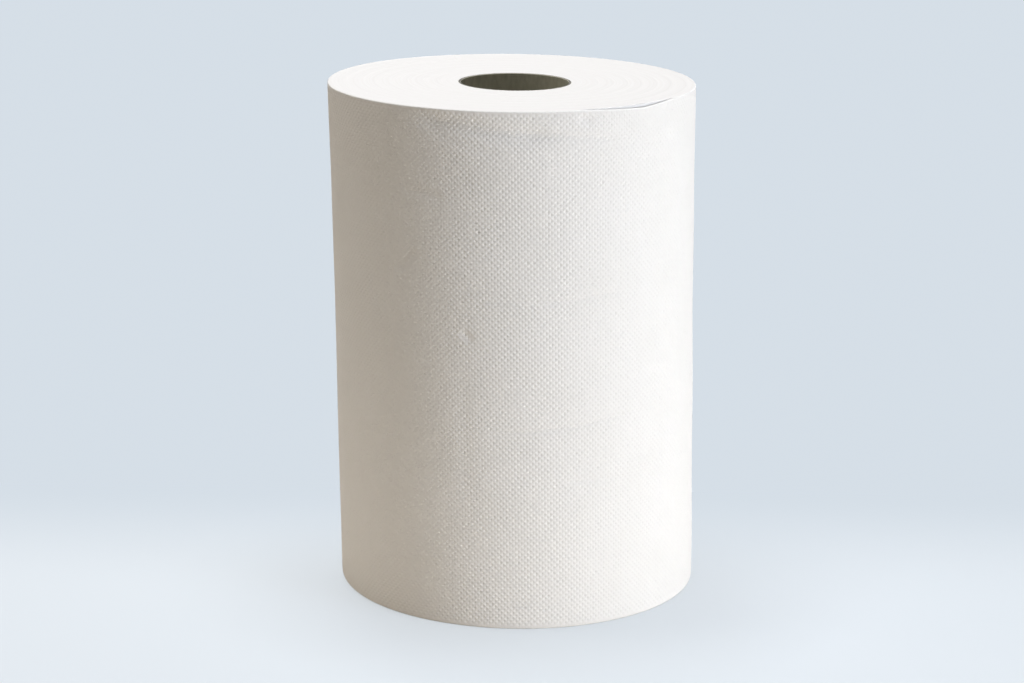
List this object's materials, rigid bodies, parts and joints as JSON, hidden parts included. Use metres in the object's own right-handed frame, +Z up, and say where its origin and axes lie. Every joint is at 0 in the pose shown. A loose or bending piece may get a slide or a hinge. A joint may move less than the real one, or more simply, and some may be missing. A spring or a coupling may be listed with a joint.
{
  "type": "paper towel roll",
  "caption": "Standing roll of white embossed paper towel, wound tightly on a grey card core whose open bore takes a holder's spindle.",
  "frame": {"origin": "on the card core's axis, level with the end the roll stands on", "axes": "+Z up along the core to the upper end, -Y towards the picture's camera, +X to the picture's right"},
  "size_m": [0.1421, 0.1419, 0.2],
  "materials": {
    "tissue": "matte, embossed with fine dots",
    "card": "matte, uncoated grey board"
  },
  "bodies": {
    "root": {"wound_paper": "tissue", "card_core": "card"}
  },
  "joints": []
}
